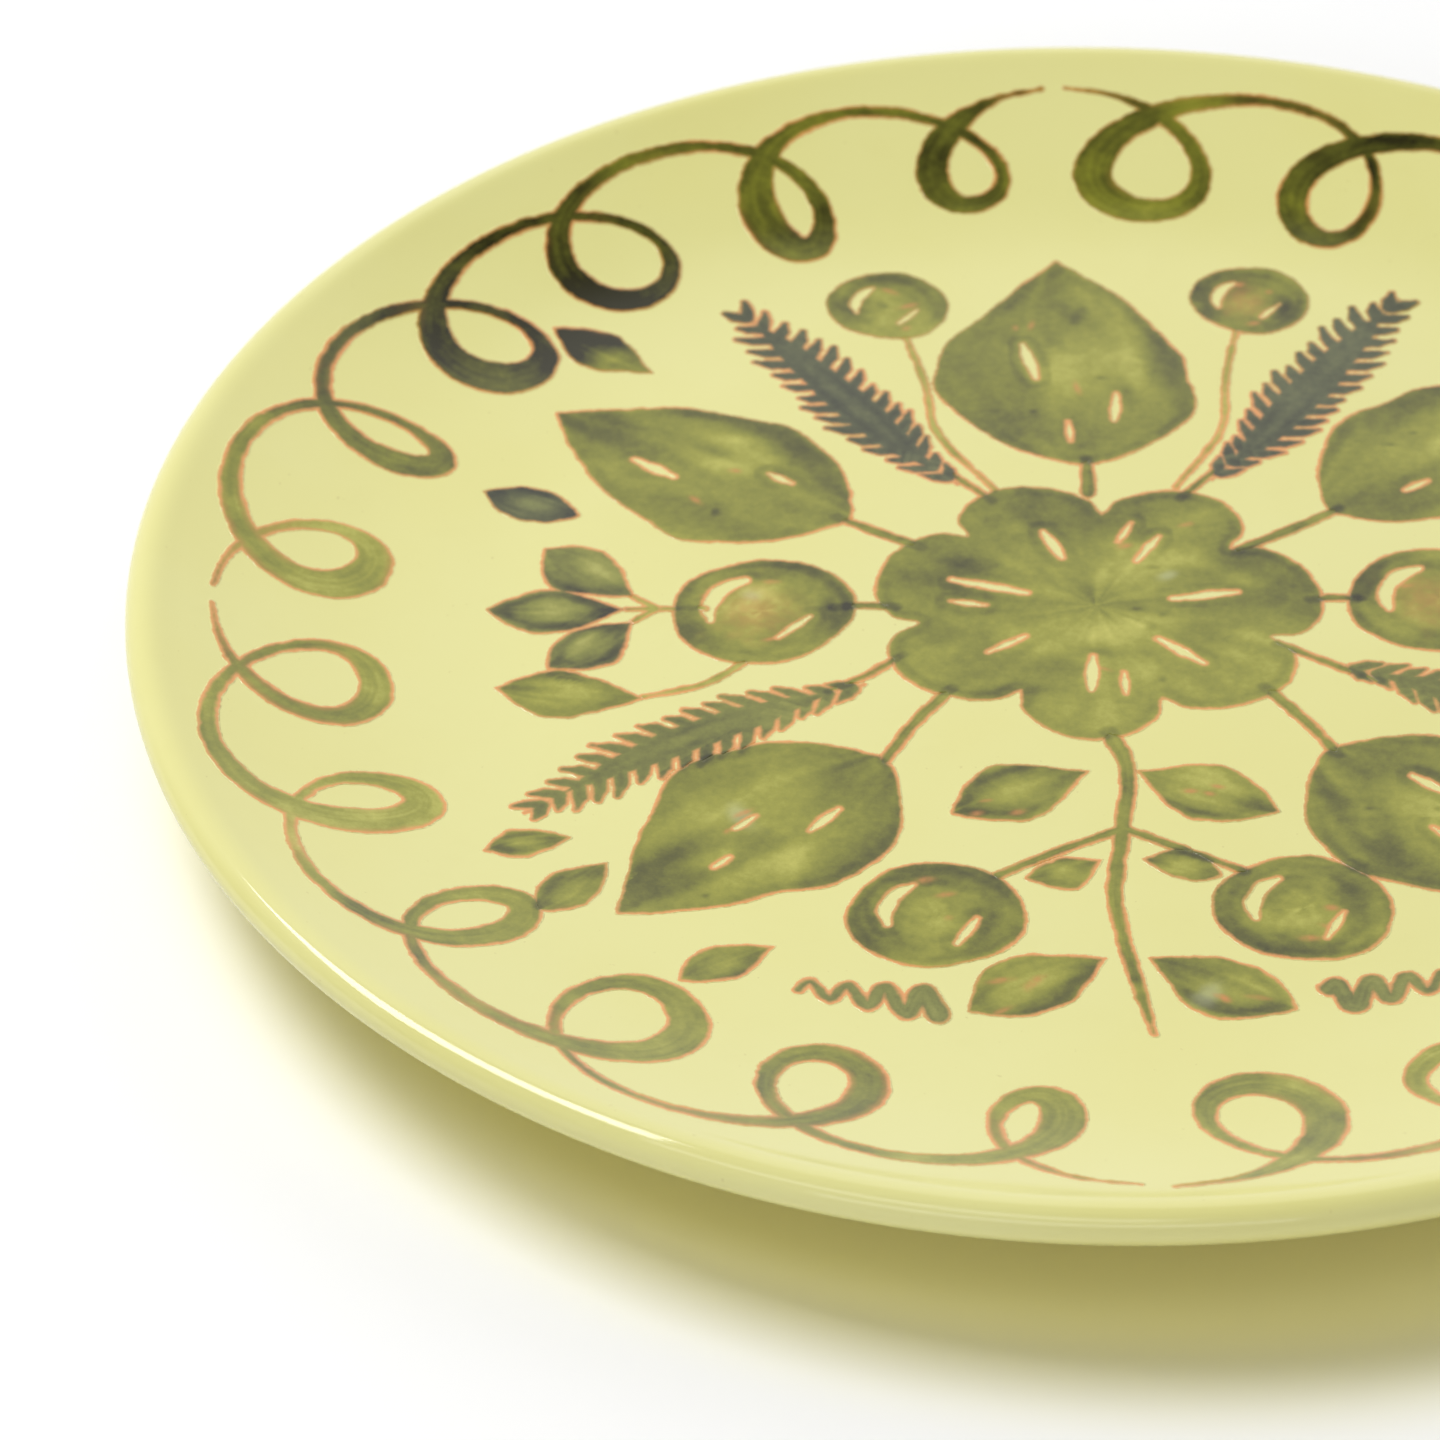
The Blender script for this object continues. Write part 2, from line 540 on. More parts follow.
def glaze_mesh():
    """The coat in section: over the face, round the lip, down the back, then under itself."""
    count = 384
    turns = np.arange(count) * 2 * math.pi / count
    cos, sin = np.cos(turns), np.sin(turns)
    rows = []                    # (radius, z) of each ring

    def ring(r, z):
        rows.append((r * np.ones(count), z))

    def back_ring(r, z):
        ring(r, z + lip_wave(turns) * min(1.0, max(0.0, (r - 80) / 48)) ** 2)

    for r in np.concatenate([np.linspace(1.2, WELL_R, 60), np.linspace(WELL_R, SLOPE_R, 62)[1:],
                             np.linspace(SLOPE_R, LIP_MID, 8)[1:]]):
        ring(r, surface_z(r * cos, r * sin))
    crest = surface_z(LIP_MID * cos, LIP_MID * sin)
    lip_end = math.radians(-68.7)
    swell = 0.10 * np.sin(4 * turns + 1.1) + 0.06 * np.sin(9 * turns)
    for t in np.linspace(math.pi / 2, lip_end, 15)[1:]:
        ring(LIP_MID + (LIP + swell * math.cos(t)) * math.cos(t),
             crest - LIP + LIP * math.sin(t))
    for r, z in [back_point(r) for r in np.linspace(127.4, WALL_R, 26)] + FOOT_CURVE:
        back_ring(r, z + 0.035 * math.sin(r * 1.9) * (r > 82))      # faint turning rings
    end_z = (COAT_END_Z + 0.22 * np.sin(3 * turns + 0.4) + 0.14 * np.sin(8 * turns + 2.2)
             + 0.10 * np.sin(17 * turns))
    for out, rise in COAT_EDGE:
        ring(FOOT_R + out, end_z + rise)
    # inner side of the coat, on the clay
    for r, z in FOOT_CLAY + [back_point(r, COAT) for r in np.linspace(WALL_R, 127, 12)]:
        back_ring(r, z)
    for t in np.linspace(lip_end, math.pi / 2, 8):
        ring(LIP_MID + (LIP - COAT) * math.cos(t), crest - LIP + (LIP - COAT) * math.sin(t))
    for r in np.concatenate([np.linspace(LIP_MID - 3, WELL_R, 16),
                             np.linspace(WELL_R, 1.2, 10)[1:]]):
        ring(r, surface_z(r * cos, r * sin) - COAT)

    centre_z = float(surface_z(0.0, 0.0))
    verts = np.vstack([np.stack([r * cos, r * sin, z], 1) for r, z in rows]
                      + [[(0, 0, centre_z), (0, 0, centre_z - COAT)]])
    here = np.arange(count)
    after = (here + 1) % count
    top, under = len(rows) * count, (len(rows) - 1) * count
    faces = []
    for i in range(len(rows) - 1):
        low, high = i * count, (i + 1) * count
        faces += np.stack([low + here, high + here, high + after, low + after], 1).tolist()
    faces += [[top, int(a), int(b)] for a, b in zip(here, after)]
    faces += [[top + 1, int(under + b), int(under + a)] for a, b in zip(here, after)]
    return new_mesh("Glaze_Coat", verts, faces)


# ---------------------------------------------------------------- brushwork fields
HALO = 0.32             # how far each piece runs past its stroke
ALONG, SIDE = np.zeros((COUNT, COUNT), np.float32), np.zeros((COUNT, COUNT), np.float32)
FIELDS = paint_fields((ALONG, SIDE))
ragged = (0.16 * value_noise(X / 1.9, Y / 1.9, 1)
          + 0.10 * value_noise(X / 0.8, Y / 0.8, 2)).astype(np.float32)
for node in FIELDS:
    FIELDS[node] = FIELDS[node] + ragged
# distance to the nearest and the next nearest piece
NEAREST, SECOND = np.sort(np.partition(np.stack(list(FIELDS.values())), 1, axis=0)[:2], axis=0)
COVER = sum((np.clip(0.3 - field, 0, 0.6) / 0.6) for field in FIELDS.values())  # overlap

# Washes: dark pools at the base, tip and one side of each motif, a lighter middle, and a
# few rust and pale specks. Rows: x, y, half length, half width, direction, amount.
DARK, LIGHT, WARM, PALE = [], [], [], []
draws = np.random.default_rng(8)
rand = draws.uniform
for node, base_x, base_y, deg, length, width in MOTIFS:
    cos, sin = math.cos(math.radians(deg)), math.sin(math.radians(deg))

    def spot(u, v):
        """Point at u of the length and v of the width of this motif."""
        return (base_x + length * u * cos - width * v * sin,
                base_y + length * u * sin + width * v * cos)

    tone = rand(0.85, 1.25)
    DARK.append((*spot(rand(0.08, 0.2), rand(-0.25, 0.25)),
                 0.17 * length, 0.30 * width, deg, 0.15 * tone))
    DARK.append((*spot(rand(0.78, 0.9), rand(-0.1, 0.1)),
                 0.14 * length, 0.20 * width, deg, 0.13 * tone))
    DARK.append((*spot(rand(0.4, 0.6), draws.choice((-0.38, 0.38))),
                 0.34 * length, 0.11 * width, deg, 0.17 * tone))
    LIGHT.append((*spot(rand(0.4, 0.55), rand(-0.14, 0.14)),
                  0.24 * length, 0.22 * width, deg, 0.17 * tone))
    if width < 12:
        continue
    for _ in range(int(length * width / 150)):
        u, v = rand(0.14, 0.84), rand(-0.32, 0.32)
        size = rand(3.5, 8.0)
        (DARK if draws.random() < 0.5 else LIGHT).append((
            *spot(u, v), size, size * rand(0.25, 0.45), deg + rand(-35, 35), rand(0.08, 0.17)))
    for _ in range(3):
        WARM.append((*spot(rand(0.2, 0.85), rand(-0.34, 0.34)),
                     rand(0.5, 1.5), rand(0.35, 0.6), deg + rand(-30, 30), 0.7))
    if draws.random() < 0.45:
        PALE.append((*spot(rand(0.25, 0.75), rand(-0.25, 0.25)),
                     rand(1.4, 3.2), rand(0.9, 1.8), rand(0, 180), 0.34))
    if node == "fruit_discs" and draws.random() < 0.4:
        WARM.append((*spot(0.45, 0.0), 0.18 * length, 0.2 * width, deg, 0.34))
    for _ in range(int(length * width / 700)):
        u, v = rand(0.2, 0.8), rand(-0.3, 0.3)
        DARK.append((*spot(u, v), rand(0.5, 0.9), rand(0.4, 0.8), 0, 0.22))


def washes(rows, sharp=2.0):
    """Sum of ragged soft ellipses; a higher `sharp` gives a firmer edge."""
    out = np.zeros((COUNT, COUNT), np.float32)
    for x, y, half_long, half_wide, deg, amount in rows:
        reach = max(half_long, half_wide) * 2.2
        area = window((x - reach, y - reach), (x + reach, y + reach))
        dx, dy = X[area] - x, Y[area] - y
        cos, sin = math.cos(math.radians(deg)), math.sin(math.radians(deg))
        u, v = (dx * cos + dy * sin) / half_long, (dy * cos - dx * sin) / half_wide
        square = u * u + v * v
        square = square * (1 + 0.45 * value_noise(X[area] / 2.2, Y[area] / 2.2, 9)
                           + 0.2 * value_noise(X[area] / 0.9, Y[area] / 0.9, 10))
        out[area] += amount * np.exp(-np.clip(square, 0, 20) ** (sharp / 2))
    return out


SHADE = washes(DARK) - washes(LIGHT)
RUST = np.clip(washes(WARM, 2.6), 0, 1)
BLOOM = np.clip(washes(PALE, 2.6), 0, 1)

# The border is loaded with colour at the back, and runs thin and rusty in places.
TURN = np.degrees(np.arctan2(Y, X))
IN_BORDER = np.clip((np.hypot(X, Y) - 94) / 4, 0, 1)


def near_turn(deg, spread):
    return np.exp(-(((TURN - deg + 180) % 360 - 180) / spread) ** 2)


SHADE += IN_BORDER * (0.40 * near_turn(134, 18) + 0.30 * near_turn(66, 14)
                      + 0.12 * near_turn(100, 20) + 0.16 * value_noise(X / 15, Y / 15, 22)
                      + 0.10 * value_noise(X / 5, Y / 5, 23))
thin = np.clip((NEAREST + 1.25) / 0.7, 0, 1)       # 0 in the middle of a broad line
RUST += (IN_BORDER * 0.34 * thin * np.clip((value_noise(X / 9, Y / 9, 24) - 0.15) / 0.5, 0, 1)
         * np.clip((60 - Y) / 60 + 0.35, 0.25, 1))
RUST = np.clip(RUST, 0, 1)

# Strength of colour, way the brush was drawn (degrees, "along" the stroke, or out from a
# centre), and greyness.
LOOK = {
    "border_front_left": (.50, "along", 0), "border_back_left": (.54, "along", 0),
    "border_front_right": (.52, "along", 0), "border_back_right": (.54, "along", 0),
    "stems": (.54, "along", 0), "thin_stalks": (.36, "along", 0), "tendrils": (.58, "along", .3),
    "rosette": (.50, (ROSE_X, ROSE_Y), 0), "top_pod": (.54, 78, 0), "side_pods": (.52, 62, 0),
    "broad_leaves": (.54, 70, 0), "fruit_discs": (.54, 60, 0), "ovals": (.82, 0, .55),
    "stem_leaves": (.50, 30, 0), "leaf_clusters": (.58, 10, .2), "fronds_back": (.74, 60, .75),
    "fronds_front": (.58, 150, .25),
}


def streaks(way):
    if way == "along":
        return (value_noise(ALONG / 9.0, SIDE / 0.42, 4) * 0.6
                + value_noise(ALONG / 3.0, SIDE / 0.9, 5) * 0.5)
    if isinstance(way, tuple):
        dx, dy = X - way[0], Y - way[1]
        turn, r = np.arctan2(dy, dx), np.hypot(dx, dy)
        return value_noise(turn * 7 + 0.8 * value_noise(r / 9, turn * 3, 8), r / 14, 6)
    cos, sin = math.cos(math.radians(way)), math.sin(math.radians(way))
    u, v = X * cos + Y * sin, Y * cos - X * sin
    return (value_noise(u / 13 + 0.3 * value_noise(u / 9, v / 9, 3), v / 1.7, 6) * 0.6
            + value_noise(u / 7, v / 0.7, 7) * 0.4)


def brush_marks():
    """Marks that run with each leaf and close up towards its ends, or go round each fruit."""
    marks = np.zeros((COUNT, COUNT), np.float32)
    for i, (node, base_x, base_y, deg, length, width) in enumerate(MOTIFS):
        cos, sin = math.cos(math.radians(deg)), math.sin(math.radians(deg))
        x, y = base_x + length / 2 * cos, base_y + length / 2 * sin
        reach = 0.62 * max(length, width)
        area = window((x - reach, y - reach), (x + reach, y + reach))
        dx, dy = X[area] - x, Y[area] - y
        r, turn = np.hypot(dx, dy), np.arctan2(dy, dx)
        near = r < 0.56 * length
        if node == "rosette":
            mark = (0.62 * value_noise(7 * (turn + 0.12 * np.sin(r / 5)) / 2.2, r / 13, 6)
                    + 0.38 * value_noise(7 * turn / 0.8, r / 8, 7))
        elif node == "fruit_discs":
            mark = (0.6 * value_noise(1.1 * turn + 3 * i, r / 2.4, 6)
                    + 0.4 * value_noise(2.2 * turn + i, r / 1.1, 7))
        else:
            u, v = (dx * cos + dy * sin) / length + 0.5, (dy * cos - dx * sin) / (width / 2)
            fan = v / (0.35 + np.sin(math.pi * np.clip(u, 0, 1)))
            mark = (0.62 * value_noise(1.9 * u + 7 * i, 3.4 * fan + 0.5 * np.sin(5 * u + i), 6)
                    + 0.38 * value_noise(3.2 * u + 3 * i, 8.5 * fan, 7))
            near = (u > -0.06) & (u < 1.06) & (np.abs(v) < 1.2)
        marks[area][near] = mark[near]
    return marks


MARKS = brush_marks()
# colour that dried darker near the edge, more on some sides than on others
POOL = (np.exp(-(((NEAREST + 1.5) / 0.8) ** 2))
        * np.clip(0.35 + 0.9 * value_noise(X / 10, Y / 10, 41), 0, 1))
warp_x = X + 2.2 * value_noise(X / 7, Y / 7, 31)
warp_y = Y + 2.2 * value_noise(X / 7, Y / 7, 32)
BLOTCH = (value_noise(warp_x / 6.5, warp_y / 6.5, 11) * 0.55
          + value_noise(warp_x / 2.8, warp_y / 2.8, 12) * 0.40
          + value_noise(warp_x / 1.3, warp_y / 1.3, 13) * 0.22)


# ---------------------------------------------------------------- paint meshes
def contour(level):
    """Marching squares round level < 0.

    Returns vertex sources (two grid points and the place between them), faces, rim edges.
    """
    def numbered(rows, cols, first):
        ids = -np.ones((COUNT, COUNT), np.int64)
        ids[rows, cols] = first + np.arange(len(rows))
        return ids

    inside = level < 0
    rows, cols = np.nonzero(inside)
    ids = numbered(rows, cols, 0)
    sources = [(rows, cols, rows, cols, np.zeros(len(rows)))]
    total = len(rows)
    cut_ids = []                # cuts on edges along x, then along y
    for down, over in ((0, 1), (1, 0)):
        rows, cols = np.nonzero(inside[:COUNT - down, :COUNT - over] != inside[down:, over:])
        start, end = level[rows, cols], level[rows + down, cols + over]
        t = np.clip(start / (start - end), 0.04, 0.96)
        cut_ids.append(numbered(rows, cols, total))
        sources.append((rows, cols, rows + down, cols + over, t))
        total += len(rows)
    across, upright = cut_ids

    cell = (inside[:-1, :-1] * 1 + inside[:-1, 1:] * 2 + inside[1:, 1:] * 4
            + inside[1:, :-1] * 8)
    j, i = np.nonzero(cell == 15)
    faces = np.stack([ids[j, i], ids[j, i + 1], ids[j + 1, i + 1], ids[j + 1, i]], 1).tolist()
    rims = []
    for j, i in zip(*np.nonzero((cell > 0) & (cell < 15))):
        code = int(cell[j, i])
        corners = [int(ids[p]) for p in ((j, i), (j, i + 1), (j + 1, i + 1), (j + 1, i))]
        sides = [int(across[j, i]), int(upright[j, i + 1]), int(across[j + 1, i]),
                 int(upright[j, i])]
        if code in (5, 10):     # two opposite corners, kept apart
            for k in ((0, 2) if code == 5 else (1, 3)):
                faces.append([corners[k], sides[k], sides[k - 1]])
                rims.append((sides[k], sides[k - 1]))
            continue
        face = []
        for k in range(4):
            here, following = code >> k & 1, code >> ((k + 1) % 4) & 1
            if here:
                face.append(corners[k])
            if here != following:
                face.append(sides[k])
                if here:
                    leaving = sides[k]
                else:
                    entering = sides[k]
        rims.append((leaving, entering))
        faces.append(face)
    return sources, faces, rims


def paint_mesh(name, index):
    field = FIELDS[name]
    other = np.where(NEAREST < field, NEAREST, SECOND)
    level = np.maximum(field - HALO, field - other).astype(float)
    level[np.abs(level) < 1e-4] = 1e-4
    level[np.hypot(X, Y) > LIP_MID + 0.9] = 1.0
    sources, faces, rims = contour(level)

    def sample(grid):
        return np.concatenate([grid[j0, i0] * (1 - t) + grid[j1, i1] * t
                               for j0, i0, j1, i1, t in sources])

    x, y, edge = sample(X), sample(Y), sample(NEAREST)
    z = surface_z(x, y)
    count = len(x)
    # colour lies a little proud in the middle of a stroke and feathers out at its edge
    lift = 0.045 + 0.004 * (index % 4)
    rise = lift * np.clip((0.30 - edge) / 0.55, 0.18, 1)
    verts = np.vstack([np.stack([x, y, z + rise], 1), np.stack([x, y, z - 0.16], 1)])
    faces = (faces + [[v + count for v in reversed(face)] for face in faces]
             + [[a, a + count, b + count, b] for a, b in rims])
    ob = new_mesh("Paint_" + name.title(), verts, faces)

    strength, way, grey = LOOK[name]
    streak = sample(streaks(way))
    density = strength + sample(SHADE)
    if way == "along":
        density = density + 0.10 * streak + 0.09 * sample(BLOTCH)
    else:
        density = (density + 0.17 * sample(MARKS) + 0.02 * streak + 0.075 * sample(BLOTCH)
                   + 0.15 * sample(POOL))
    density = density + 0.16 * np.clip(sample(COVER) - 1, 0, 1)
    edge_warmth = 0.5 + 0.5 * value_noise(x / 7.0, y / 7.0, 15) + np.clip((y - 45) / 70, 0, 0.5)
    values = {"ed": edge, "dens": density, "hot": sample(RUST), "wan": sample(BLOOM),
              "grey": np.full(count, float(grey)), "edge_w": edge_warmth}
    for key, column in values.items():
        attribute = ob.data.attributes.new(key, "FLOAT", "POINT")
        attribute.data.foreach_set("value", np.concatenate([column, column]).astype(np.float32))
    return ob


# ---------------------------------------------------------------- materials
class Shader:
    """Short calls that build the nodes of a material or world."""

    def __init__(self, owner, main="Principled BSDF"):
        owner.use_nodes = True
        self.owner = owner
        self.tree = owner.node_tree
        self.main = self.tree.nodes[main]

    def add(self, kind, **settings):
        node = self.tree.nodes.new(kind)
        for key, value in settings.items():
            setattr(node, key, value)
        return node

    def put(self, node, key, value):
        """Link a socket to an input, or set the input to a plain value."""
        if isinstance(value, bpy.types.NodeSocket):
            self.tree.links.new(value, node.inputs[key])
        else:
            node.inputs[key].default_value = value

    def attr(self, name):
        return self.add("ShaderNodeAttribute", attribute_name=name).outputs["Fac"]

    def math(self, operation, *values, clamp=False):
        node = self.add("ShaderNodeMath", operation=operation, use_clamp=clamp)
        for i, value in enumerate(values):
            self.put(node, i, value)
        return node.outputs[0]

    def range(self, value, low, high, to_low=0.0, to_high=1.0):
        node = self.add("ShaderNodeMapRange", interpolation_type="SMOOTHSTEP")
        for i, item in enumerate((value, low, high, to_low, to_high)):
            self.put(node, i, item)
        return node.outputs[0]

    def noise(self, per_mm, detail=3.0, rough=0.55):
        coords = self.add("ShaderNodeTexCoord")
        mapping = self.add("ShaderNodeMapping")
        self.put(mapping, "Scale", (1000.0 * per_mm,) * 3)
        self.put(mapping, "Vector", coords.outputs["Object"])
        node = self.add("ShaderNodeTexNoise")
        self.put(node, "Scale", 1.0)
        self.put(node, "Detail", detail)
        self.put(node, "Roughness", rough)
        self.put(node, "Vector", mapping.outputs[0])
        return node.outputs["Fac"]

    def mix(self, factor, first, second):
        node = self.add("ShaderNodeMix", data_type="RGBA")
        self.put(node, 0, factor)
        for i, colour in ((6, first), (7, second)):
            self.put(node, i, colour + (1,) if isinstance(colour, tuple) else colour)
        return node.outputs[2]

    def ramp(self, factor, stops):
        node = self.add("ShaderNodeValToRGB")
        self.put(node, 0, factor)
        elements = node.color_ramp.elements
        while len(elements) < len(stops):
            elements.new(0.5)
        for i, (position, colour) in enumerate(stops):
            elements[i].position = position
            elements[i].color = colour + (1,)
        return node.outputs[0]

    def bump(self, height, strength, depth_mm, under=None):
        node = self.add("ShaderNodeBump")
        self.put(node, "Strength", strength)
        self.put(node, "Distance", depth_mm * 0.001)
        self.put(node, "Height", height)
        if under is not None:
            self.put(node, "Normal", under)
        return node.outputs[0]


GLAZE_RGB = (0.694, 0.667, 0.272)


def glaze_colour(sh):
    """Lime glaze: faint clouding, deeper patches, a few brownish pinholes."""
    clouds = sh.noise(per_mm=0.018, detail=4, rough=0.5)
    fine = sh.noise(per_mm=0.12, detail=4, rough=0.6)
    light, deep = (tuple(v * s for v, s in zip(GLAZE_RGB, scale))
                   for scale in ((1.0, 1.0, 1.03), (0.985, 0.975, 0.93)))
    colour = sh.mix(sh.range(clouds, low=0.35, high=0.68), light, deep)
    patches = sh.math("MULTIPLY", sh.range(fine, low=0.52, high=0.8), 0.10)
    colour = sh.mix(patches, colour, (0.62, 0.58, 0.22))
    pinholes = sh.range(sh.noise(per_mm=0.9, detail=2, rough=0.5), low=0.735, high=0.79)
    return sh.mix(sh.math("MULTIPLY", pinholes, 0.35), colour, (0.48, 0.40, 0.16))


def glaze_finish(sh):
    """Glossy, slightly uneven surface."""
    sh.put(sh.main, "Roughness", 0.07)      # stands in if the texture below is unlinked
    sh.put(sh.main, "IOR", 1.5)
    normal = sh.bump(sh.noise(per_mm=0.16, detail=2, rough=0.4), strength=0.10, depth_mm=0.05)
    normal = sh.bump(sh.noise(per_mm=1.4, detail=2, rough=0.5), strength=0.05, depth_mm=0.02,
                     under=normal)
    sh.put(sh.main, "Normal", normal)
    vary = sh.math("MULTIPLY", sh.noise(per_mm=0.05, detail=3), 0.05)
    sh.put(sh.main, "Roughness", sh.math("ADD", vary, 0.05))


def glaze_material():
    sh = Shader(bpy.data.materials.new("Lime_Glaze"))
    sh.put(sh.main, "Base Color", glaze_colour(sh))
    glaze_finish(sh)
    return sh.owner


# colour by density, from thin to thick
GREEN_STOPS = [
    (0.00, (0.64, 0.58, 0.17)), (0.20, (0.44, 0.42, 0.078)), (0.40, (0.285, 0.282, 0.033)),
    (0.58, (0.190, 0.194, 0.020)), (0.76, (0.100, 0.101, 0.013)), (1.00, (0.022, 0.020, 0.004))]
GREY_STOPS = [(0.0, (0.5, 0.5, 0.3)), (0.5, (0.16, 0.175, 0.085)), (0.8, (0.062, 0.07, 0.040)),
              (1.0, (0.028, 0.032, 0.022))]


def paint_material():
    sh = Shader(bpy.data.materials.new("Brushed_Colour"))
    fine = sh.math("SUBTRACT", sh.noise(per_mm=2.2, detail=3, rough=0.6), 0.5)
    grain = sh.math("SUBTRACT", sh.noise(per_mm=0.75, detail=3, rough=0.6), 0.5)
    edge = sh.math("ADD", sh.attr("ed"), sh.math("MULTIPLY", fine, 0.30))
    density = sh.math("ADD", sh.attr("dens"), sh.math("MULTIPLY", grain, 0.24))
    density = sh.math("ADD", density, sh.math("MULTIPLY", fine, 0.10), clamp=True)
    green = sh.ramp(density, GREEN_STOPS)
    grey = sh.ramp(density, GREY_STOPS)
    colour = sh.mix(sh.attr("grey"), green, grey)
    # pale bloom where the colour is thin, and rusty washes
    bloom = sh.math("MULTIPLY", sh.attr("wan"), 0.9, clamp=True)
    colour = sh.mix(bloom, colour, (0.56, 0.58, 0.36))
    rusty = sh.math("MULTIPLY", sh.attr("hot"),
                    sh.range(grain, low=-0.22, high=0.10, to_low=0.45, to_high=1.0), clamp=True)
    colour = sh.mix(rusty, colour, (0.56, 0.22, 0.060))
    # rust-coloured bleed along every edge, uneven in width, feathering into the glaze
    start = sh.math("ADD", -0.76, sh.math("MULTIPLY", sh.attr("edge_w"), 0.30))
    bleed = sh.range(edge, low=start, high=0.02)
    rust = sh.mix(sh.range(sh.attr("edge_w"), low=0.3, high=1.3),
                  (0.74, 0.320, 0.105), (0.44, 0.285, 0.070))
    colour = sh.mix(sh.math("MULTIPLY", bleed, 0.92), colour, rust)
    colour = sh.mix(sh.range(edge, low=0.0, high=0.29), colour, glaze_colour(sh))
    sh.put(sh.main, "Base Color", colour)
    glaze_finish(sh)
    return sh.owner


def clay_material():
    sh = Shader(bpy.data.materials.new("Red_Clay"))
    colour = sh.ramp(sh.noise(per_mm=0.35, detail=6, rough=0.65), [
        (0.2, (0.30, 0.105, 0.045)), (0.5, (0.42, 0.165, 0.075)), (0.8, (0.52, 0.24, 0.12))])
    specks = sh.range(sh.noise(per_mm=2.4, detail=2, rough=0.6), low=0.62, high=0.75)
    colour = sh.mix(sh.math("MULTIPLY", specks, 0.5), colour, (0.62, 0.42, 0.28))
    sh.put(sh.main, "Base Color", colour)
    sh.put(sh.main, "Roughness", 0.85)
    grit = sh.noise(per_mm=3.0, detail=5, rough=0.7)
    sh.put(sh.main, "Normal", sh.bump(grit, strength=0.5, depth_mm=0.08))
    return sh.owner


# ---------------------------------------------------------------- build the pieces
def register(ob, material, node):
    ob.data.materials.append(material)
    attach(ob, "root")
    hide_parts(node)


glaze_mat, paint_mat, clay_mat = glaze_material(), paint_material(), clay_material()
register(glaze_mesh(), glaze_mat, "glaze_coat")
for index, name in enumerate(FIELDS):
    register(paint_mesh(name, index), paint_mat, "paint_" + name)
for node, mat in (("clay_body", clay_mat), ("foot_well_glaze", glaze_mat)):
    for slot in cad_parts[node].material_slots:
        slot.material = mat


# ---------------------------------------------------------------- floor
FLOOR_TINT = (0.92, 0.86, 0.44)         # lime tint round the plate
FLOOR_RGB = (0.90, 0.90, 0.90)
TINT_CENTRE = (0.013, -0.004, 0.0)
TINT_FADE = (0.124, 0.152)              # radii where the tint starts and ends its fade


def floor_material():
    sh = Shader(bpy.data.materials.new("Pale_Floor"))
    sh.put(sh.main, "Roughness", 0.9)
    sh.put(sh.main, "Specular IOR Level", 0.0)
    coords = sh.add("ShaderNodeTexCoord")
    offset = sh.add("ShaderNodeVectorMath", operation="SUBTRACT")
    sh.put(offset, 0, coords.outputs["Object"])
    sh.put(offset, 1, TINT_CENTRE)
    radius = sh.add("ShaderNodeVectorMath", operation="LENGTH")
    sh.put(radius, 0, offset.outputs[0])
    away = sh.range(radius.outputs["Value"], *TINT_FADE)
    sh.put(sh.main, "Base Color", sh.mix(away, FLOOR_TINT, FLOOR_RGB))
    return sh.owner


bpy.ops.mesh.primitive_plane_add(size=8.0, location=(0, 0, -0.0002))
floor = bpy.context.object
floor.name = "Floor"
floor.data.materials.append(floor_material())

# ---------------------------------------------------------------- light
PANEL, AMBIENT, FRONT = 1.0, 0.08, 0.70     # strengths of the world light
PANEL_TOP = 0.87                            # height of the panel, radians
LAMP_DIST = 1.6
# name, direction from the plate, width, watts, depth
LAMPS = [
    ("Key", (-0.47, 0.25, 0.85), 0.80, 18.2, 0.66),
    ("Strip_Left", (-0.25, -0.47, 0.86), 1.20, 3.0, 0.40),
    ("Strip_Front", (-0.10, -0.84, 0.46), 1.30, 2.3, 0.30),
]


def build_world():
    """Bright panel behind the plate up to about 50 degrees, softer front, dim elsewhere."""
    world = bpy.data.worlds.new("Studio")
    bpy.context.scene.world = world
    sh = Shader(world, main="Background")
    coords = sh.add("ShaderNodeTexCoord")
    split = sh.add("ShaderNodeSeparateXYZ")
    sh.put(split, 0, coords.outputs["Generated"])
    x, y, z = (split.outputs[axis] for axis in "XYZ")
    height = sh.math("ARCSINE", z)
    turn = sh.math("ARCTAN2", x, y)
    off_centre = sh.math("ABSOLUTE", sh.math("SUBTRACT", turn, 0.15))
    behind = sh.range(off_centre, low=0.9, high=1.6, to_low=1.0, to_high=0.0)
    below = sh.range(height, low=PANEL_TOP - 0.10, high=PANEL_TOP + 0.10, to_low=1.0, to_high=0.0)
    panel = sh.math("MULTIPLY", behind, below)
    strength = sh.math("ADD", sh.math("MULTIPLY", panel, PANEL), AMBIENT)
    front = sh.range(y, low=-0.2, high=-0.9)
    strength = sh.math("ADD", strength, sh.math("MULTIPLY", front, FRONT))
    sh.put(sh.main, "Strength", strength)
    sh.put(sh.main, "Color", (1, 1, 1, 1))


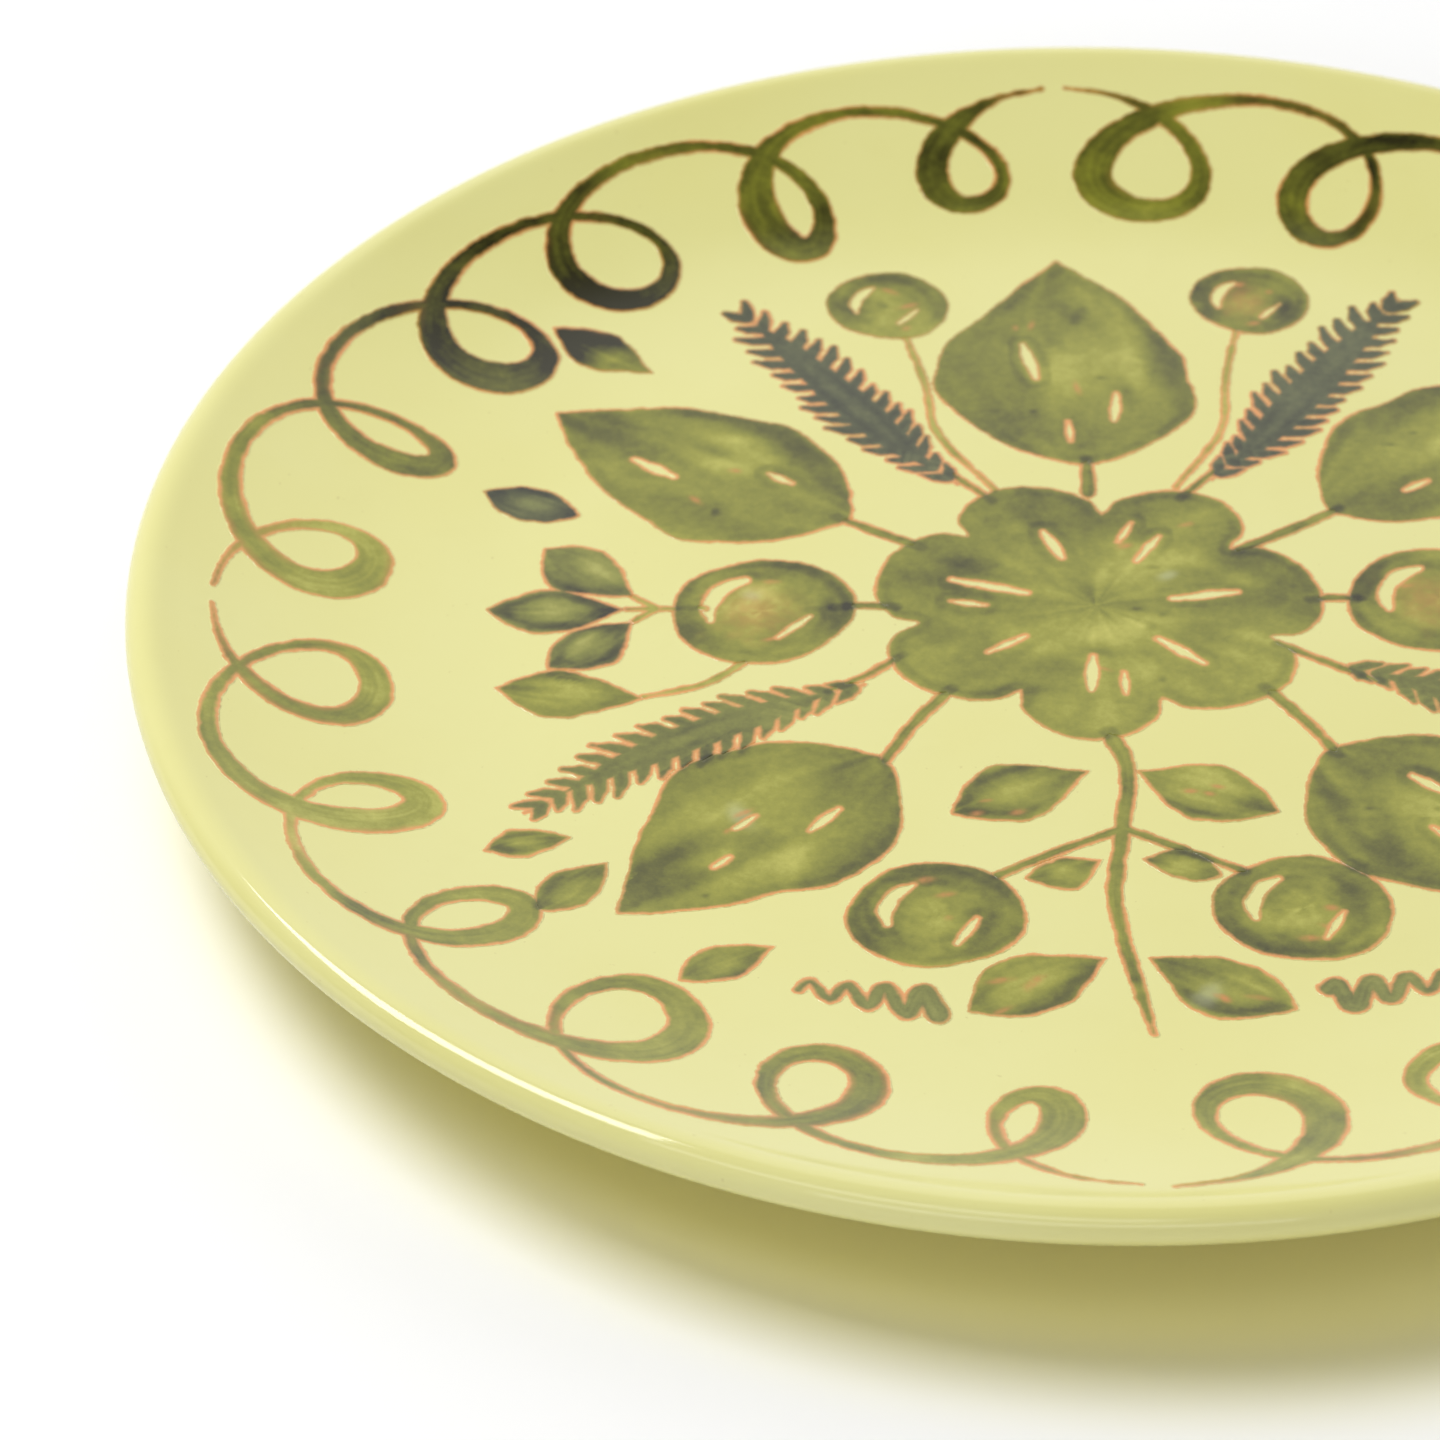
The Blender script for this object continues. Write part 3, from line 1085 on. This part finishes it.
def add_lamp(name, direction, width, watts, depth):
    toward = Vector(direction).normalized()
    light = bpy.data.lights.new(name, "AREA")
    light.shape = "RECTANGLE"
    light.size = width
    light.size_y = depth
    light.energy = watts
    light.color = (1, 1, 1)
    ob = bpy.data.objects.new(name, light)
    bpy.context.collection.objects.link(ob)
    ob.location = toward * LAMP_DIST
    ob.rotation_euler = (-toward).to_track_quat("-Z", "Y").to_euler()


build_world()
for lamp in LAMPS:
    add_lamp(*lamp)

# ---------------------------------------------------------------- camera
CAM_TILT, CAM_ROLL = 0.665545661, -0.0174044972     # downwards and sideways, radians
# the point on the Z axis 24 mm below the lip crest, as the camera sees it: right, up, away
CAM_OFFSET = (52.9762601, 3.31525414, 897.622699)
AIM_DROP = 24.0


def build_camera():
    tilt_cos, tilt_sin = math.cos(CAM_TILT), math.sin(CAM_TILT)
    roll_cos, roll_sin = math.cos(CAM_ROLL), math.sin(CAM_ROLL)
    away = Vector((0, tilt_cos, -tilt_sin))
    level, rise = Vector((1, 0, 0)), Vector((0, tilt_sin, tilt_cos))
    right = roll_cos * level + roll_sin * rise
    top = -roll_sin * level + roll_cos * rise
    place = -(CAM_OFFSET[0] * right + CAM_OFFSET[1] * top + CAM_OFFSET[2] * away)
    place.z += CREST_Z - AIM_DROP
    cam = bpy.data.cameras.new("Camera")
    ob = bpy.data.objects.new("Camera", cam)
    bpy.context.collection.objects.link(ob)
    matrix = Matrix((right, top, -away)).transposed().to_4x4()
    matrix.translation = place * MM
    ob.matrix_world = matrix
    cam.sensor_width = 36.0
    cam.sensor_fit = "HORIZONTAL"
    cam.lens = 159.26625
    cam.clip_start, cam.clip_end = 0.05, 20.0
    focus = bpy.data.objects.new("Focus", None)
    bpy.context.collection.objects.link(focus)
    focus.location = (0.0, -0.060, 0.012)
    cam.dof.use_dof = True
    cam.dof.focus_object = focus
    cam.dof.aperture_fstop = 32.0
    bpy.context.scene.camera = ob


build_camera()
view = bpy.context.scene.view_settings
view.view_transform = "Standard"
view.look = "None"
view.exposure = 0.0
view.gamma = 1.0
